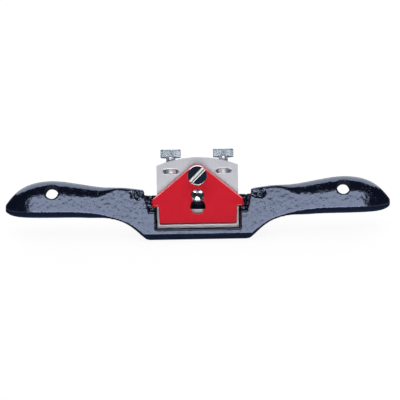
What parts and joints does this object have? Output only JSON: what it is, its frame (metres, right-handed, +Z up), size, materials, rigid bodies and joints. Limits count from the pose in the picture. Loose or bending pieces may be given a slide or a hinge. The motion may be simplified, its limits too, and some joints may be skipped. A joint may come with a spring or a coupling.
{
  "type": "spokeshave",
  "caption": "Flat-soled metal spokeshave with a cast body and winged handles, a clamped blade under a keyhole lever cap, and screw blade adjusters.",
  "frame": {"origin": "on the plane of the sole, under the middle of the overall box", "axes": "+X along the handles to the user's right, +Y towards the back (heel and adjusting nuts), +Z up from the sole; the blade's bed rises towards +Y and +Z at 45 degrees"},
  "size_m": [0.254, 0.0566, 0.0384],
  "materials": {
    "dark_enamel": "thick glossy stove enamel over cast iron; the sole is ground bare",
    "red_enamel": "glossy enamel over a casting",
    "ground_steel": "surface ground, satin",
    "turned_steel": "screw thread, bright",
    "bright_plate": "nickel plated, knurled or polished"
  },
  "bodies": {
    "body": {"body_casting": "dark_enamel", "left_stud": "turned_steel", "right_stud": "turned_steel"},
    "blade": {"blade": "ground_steel"},
    "left_nut": {"left_adjusting_nut": "bright_plate"},
    "right_nut": {"right_adjusting_nut": "bright_plate"},
    "lever_cap": {"lever_cap": "red_enamel"},
    "thumb_screw": {"thumb_screw": "bright_plate"},
    "retaining_screw": {"retaining_screw": "bright_plate"}
  },
  "joints": [
    {"name": "blade_slide", "type": "slide", "parent": "body", "child": "blade", "axis": [0, 0.7071, 0.7071], "range_m": [-0.0007, 0.0028]},
    {"name": "left_nut_turn", "type": "hinge", "parent": "blade", "child": "left_nut", "pos_m": [-0.0175, 0.02154, 0.03168], "axis": [0, 0.7071, 0.7071], "range_deg": [-360, 1440]},
    {"name": "right_nut_turn", "type": "hinge", "parent": "blade", "child": "right_nut", "pos_m": [0.0175, 0.02154, 0.03168], "axis": [0, 0.7071, 0.7071], "range_deg": [-360, 1440]},
    {"name": "cap_slide", "type": "slide", "parent": "body", "child": "lever_cap", "axis": [0, 0.7071, 0.7071], "range_m": [0, 0.00705]},
    {"name": "thumb_screw_turn", "type": "hinge", "parent": "lever_cap", "child": "thumb_screw", "pos_m": [0, 0.00139, 0.03019], "axis": [0, -0.7071, 0.7071], "range_deg": [0, 720]},
    {"name": "retaining_screw_turn", "type": "hinge", "parent": "body", "child": "retaining_screw", "pos_m": [0, -0.00586, 0.0187], "axis": [0, -0.7071, 0.7071], "range_deg": [0, 720]}
  ],
  "couplings": [
    {"joint": "left_nut_turn", "follows": "blade_slide", "rad_per_m": 8975.9},
    {"joint": "right_nut_turn", "follows": "blade_slide", "rad_per_m": 8975.9}
  ]
}
